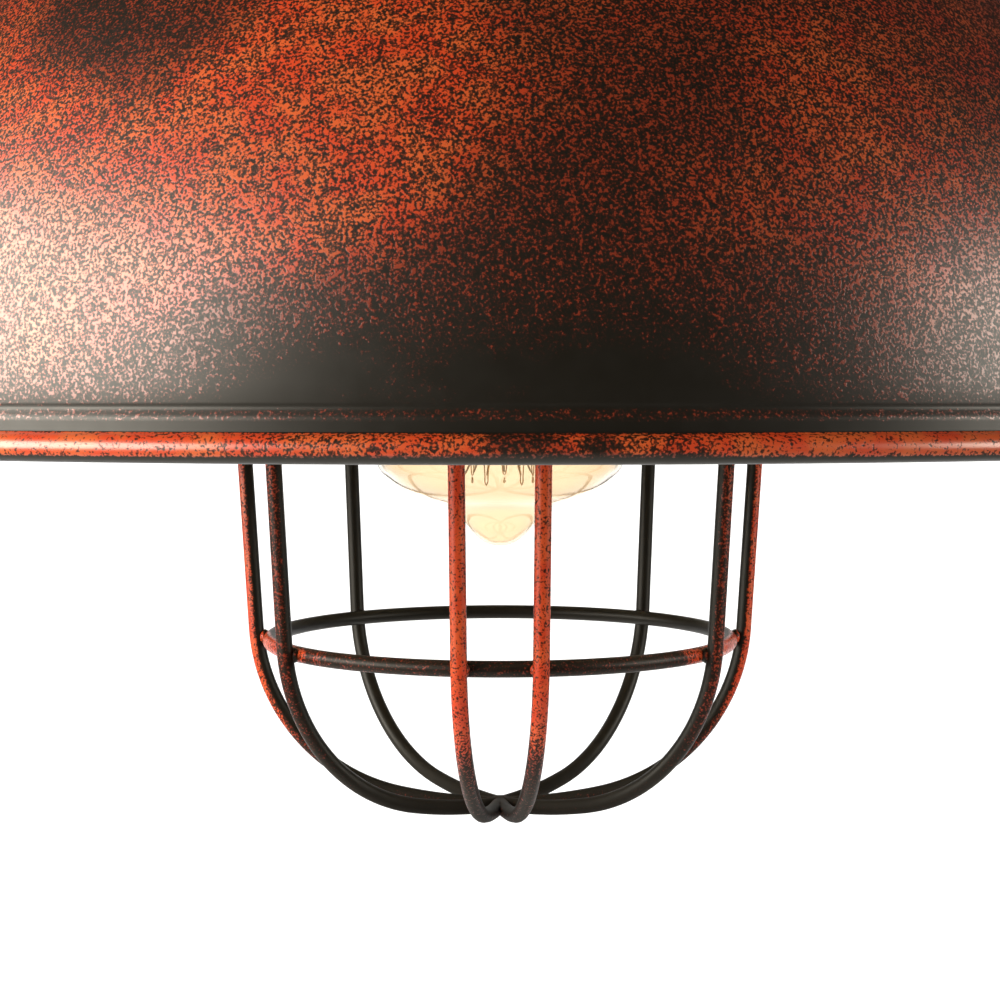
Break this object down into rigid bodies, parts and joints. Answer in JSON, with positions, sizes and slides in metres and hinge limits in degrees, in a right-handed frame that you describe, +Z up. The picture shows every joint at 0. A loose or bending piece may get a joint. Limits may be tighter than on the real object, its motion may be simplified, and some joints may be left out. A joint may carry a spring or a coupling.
{
  "type": "pendant ceiling light",
  "caption": "Industrial pendant light: a spun steel dome shade with a rolled rim, a domed wire guard below it and a screw-in filament lamp in a lampholder.",
  "frame": {"origin": "on the axis at the mouth of the cord gland, where the cord enters and the light hangs from", "axes": "+Z up along the cord, -Y towards the front pair of guard wires, +X to the right seen from the front"},
  "size_m": [0.3506, 0.3506, 0.3078],
  "materials": {
    "antiqued_shade": "satin black over red, rubbed back in fine specks",
    "guard_finish": "satin red and black, rubbed on the wire",
    "black_enamel": "satin",
    "plain_steel": "drawn wire",
    "zinc_steel": "zinc plated",
    "black_nylon": "moulded",
    "white_nylon": "moulded",
    "porcelain": "glazed",
    "nickel_brass": "bright",
    "spring_bronze": "bright",
    "brass": "bright",
    "black_glass": "vitrite",
    "solder": "soft",
    "amber_glass": "clear, tinted",
    "clear_glass": "clear",
    "filament_wire": "carbon",
    "support_wire": "drawn"
  },
  "bodies": {
    "lamp_shade_assembly": {"body_screws": "zinc_steel", "centre_contact": "spring_bronze", "contact_rivet": "brass", "crown_nut": "zinc_steel", "crown_washer": "zinc_steel", "gallery": "black_enamel", "gallery_nut": "zinc_steel", "gallery_washer": "zinc_steel", "gland_body": "black_nylon", "gland_collet": "white_nylon", "gland_nut": "black_nylon", "holder_cap": "zinc_steel", "line_terminal": "brass", "neutral_terminal": "brass", "nipple_tube": "zinc_steel", "porcelain_body": "porcelain", "rim_wire": "plain_steel", "screw_shell": "nickel_brass", "shade": "antiqued_shade", "shell_rivet": "brass", "socket_cup": "black_enamel", "terminal_screws": "brass"},
    "lamp_contact": {"lamp_contact": "solder"},
    "lamp": {"lamp_cap": "nickel_brass", "lamp_insulator": "black_glass", "lamp_glass": "amber_glass", "lamp_stem": "clear_glass", "filament": "filament_wire", "filament_supports": "support_wire", "lamp_leads": "support_wire"},
    "guard": {"guard_collar": "black_enamel", "guard_hoop": "guard_finish", "guard_rib_1": "guard_finish", "guard_rib_2": "guard_finish", "guard_rib_3": "guard_finish", "guard_rib_4": "guard_finish", "guard_rib_5": "guard_finish", "guard_rib_6": "guard_finish", "guard_rib_7": "guard_finish", "guard_rib_8": "guard_finish"},
    "thumbscrew_pad_1": {"thumbscrew_pad_1": "white_nylon"},
    "thumbscrew_1": {"thumbscrew_stud_1": "zinc_steel", "thumbscrew_knob_1": "brass"},
    "thumbscrew_pad_2": {"thumbscrew_pad_2": "white_nylon"},
    "thumbscrew_2": {"thumbscrew_stud_2": "zinc_steel", "thumbscrew_knob_2": "brass"},
    "thumbscrew_pad_3": {"thumbscrew_pad_3": "white_nylon"},
    "thumbscrew_3": {"thumbscrew_stud_3": "zinc_steel", "thumbscrew_knob_3": "brass"}
  },
  "joints": [
    {"name": "lamp_drop", "type": "slide", "parent": "lamp_shade_assembly", "child": "lamp_contact", "axis": [0, 0, -1], "range_m": [0, 0.01089]},
    {"name": "lamp_turn", "type": "hinge", "parent": "lamp_contact", "child": "lamp", "pos_m": [0, 0, -0.115], "axis": [0, 0, -1], "range_deg": [0, 1080]},
    {"name": "guard_slide", "type": "slide", "parent": "lamp_shade_assembly", "child": "guard", "axis": [0, 0, -1], "range_m": [0, 0.11]},
    {"name": "thumbscrew_travel_1", "type": "slide", "parent": "lamp_shade_assembly", "child": "thumbscrew_pad_1", "axis": [0, 1, 0], "range_m": [0, 0.00122]},
    {"name": "thumbscrew_turn_1", "type": "hinge", "parent": "thumbscrew_pad_1", "child": "thumbscrew_1", "pos_m": [0, 0.05, -0.084], "axis": [0, 1, 0], "range_deg": [0, 630]},
    {"name": "thumbscrew_travel_2", "type": "slide", "parent": "lamp_shade_assembly", "child": "thumbscrew_pad_2", "axis": [-0.866, -0.5, 0], "range_m": [0, 0.00122]},
    {"name": "thumbscrew_turn_2", "type": "hinge", "parent": "thumbscrew_pad_2", "child": "thumbscrew_2", "pos_m": [-0.0433, -0.025, -0.084], "axis": [-0.866, -0.5, 0], "range_deg": [0, 630]},
    {"name": "thumbscrew_travel_3", "type": "slide", "parent": "lamp_shade_assembly", "child": "thumbscrew_pad_3", "axis": [0.866, -0.5, 0], "range_m": [0, 0.00122]},
    {"name": "thumbscrew_turn_3", "type": "hinge", "parent": "thumbscrew_pad_3", "child": "thumbscrew_3", "pos_m": [0.0433, -0.025, -0.084], "axis": [0.866, -0.5, 0], "range_deg": [0, 630]}
  ],
  "couplings": [
    {"joint": "lamp_drop", "follows": "lamp_turn", "m_per_rad": 0.00057757},
    {"joint": "thumbscrew_travel_1", "follows": "thumbscrew_turn_1", "m_per_rad": 0.00011141},
    {"joint": "thumbscrew_travel_2", "follows": "thumbscrew_turn_2", "m_per_rad": 0.00011141},
    {"joint": "thumbscrew_travel_3", "follows": "thumbscrew_turn_3", "m_per_rad": 0.00011141}
  ]
}
